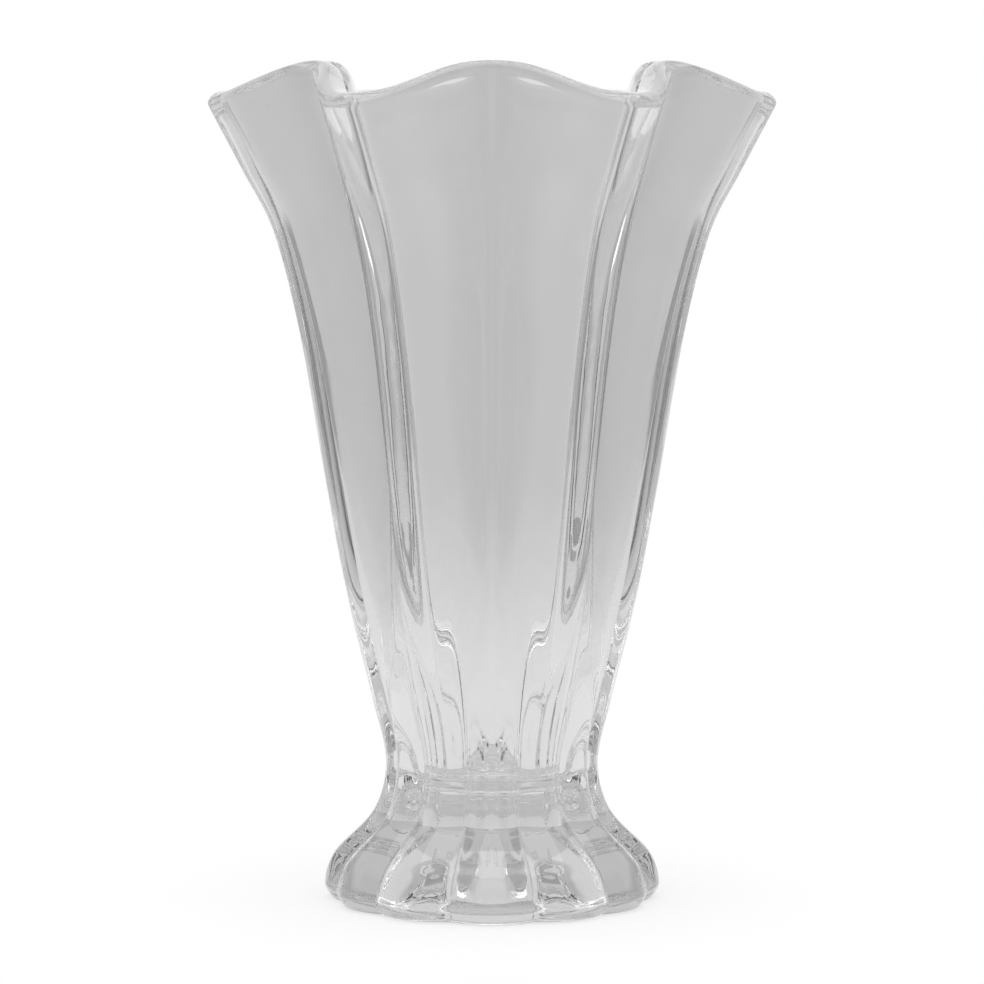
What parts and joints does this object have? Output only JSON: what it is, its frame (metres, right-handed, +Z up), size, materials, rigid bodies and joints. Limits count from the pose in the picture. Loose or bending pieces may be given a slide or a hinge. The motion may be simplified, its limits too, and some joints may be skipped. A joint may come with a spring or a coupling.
{
  "type": "footed tulip vase",
  "caption": "Clear pressed-glass tulip vase: ribbed body with concave panels, flaring to an arched and pointed rim, on a solid scalloped foot. Holds water and cut stems.",
  "frame": {"origin": "centre of the plane that the foot stands on", "axes": "+Z up along the axis of the vase, -Y towards the front panel that faces the viewer, +X through a rib"},
  "size_m": [0.1686, 0.149, 0.25],
  "materials": {
    "bowl_glass": "clear pressed glass, fire-polished, colourless with a faint grey cast",
    "foot_glass": "clear pressed glass, fire-polished, solid and thick"
  },
  "bodies": {
    "root": {"bowl": "bowl_glass", "foot": "foot_glass"}
  },
  "joints": []
}
